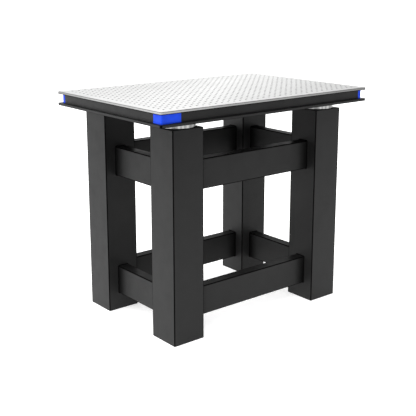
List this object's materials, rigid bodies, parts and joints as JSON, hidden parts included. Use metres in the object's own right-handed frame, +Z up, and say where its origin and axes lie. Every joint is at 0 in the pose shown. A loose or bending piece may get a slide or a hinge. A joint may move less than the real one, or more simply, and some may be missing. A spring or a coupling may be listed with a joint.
{
  "type": "optical table",
  "caption": "Perforated breadboard top on four round supports and a welded square tube frame with two rings of beams.",
  "frame": {"origin": "middle of the footprint, on the floor", "axes": "+X along the long side, +Y along the short side towards the rear, +Z up"},
  "size_m": [0.9, 0.6, 0.7705],
  "materials": {
    "frame_coat": "satin",
    "panel_coat": "satin",
    "pad_rubber": "matt",
    "support_metal": "machined",
    "top_steel": "satin ground",
    "core_steel": "raw",
    "corner_plastic": "satin"
  },
  "bodies": {
    "root": {"leg_front_left": "frame_coat", "leg_foot_plate_front_left": "frame_coat", "leg_head_plate_front_left": "frame_coat", "support_pad_front_left": "pad_rubber", "support_front_left": "support_metal", "leg_front_right": "frame_coat", "leg_foot_plate_front_right": "frame_coat", "leg_head_plate_front_right": "frame_coat", "support_pad_front_right": "pad_rubber", "support_front_right": "support_metal", "leg_rear_left": "frame_coat", "leg_foot_plate_rear_left": "frame_coat", "leg_head_plate_rear_left": "frame_coat", "support_pad_rear_left": "pad_rubber", "support_rear_left": "support_metal", "leg_rear_right": "frame_coat", "leg_foot_plate_rear_right": "frame_coat", "leg_head_plate_rear_right": "frame_coat", "support_pad_rear_right": "pad_rubber", "support_rear_right": "support_metal", "beam_front_lower": "frame_coat", "beam_rear_lower": "frame_coat", "beam_left_lower": "frame_coat", "beam_right_lower": "frame_coat", "beam_front_upper": "frame_coat", "beam_rear_upper": "frame_coat", "beam_left_upper": "frame_coat", "beam_right_upper": "frame_coat", "bottom_skin": "panel_coat", "top_skin": "top_steel", "honeycomb_core": "core_steel", "side_panel_front": "panel_coat", "side_panel_rear": "panel_coat", "side_panel_left": "panel_coat", "side_panel_right": "panel_coat", "corner_post_front_left": "corner_plastic", "corner_post_front_right": "corner_plastic", "corner_post_rear_left": "corner_plastic", "corner_post_rear_right": "corner_plastic", "corner_wrap_plate": "corner_plastic"}
  },
  "joints": []
}
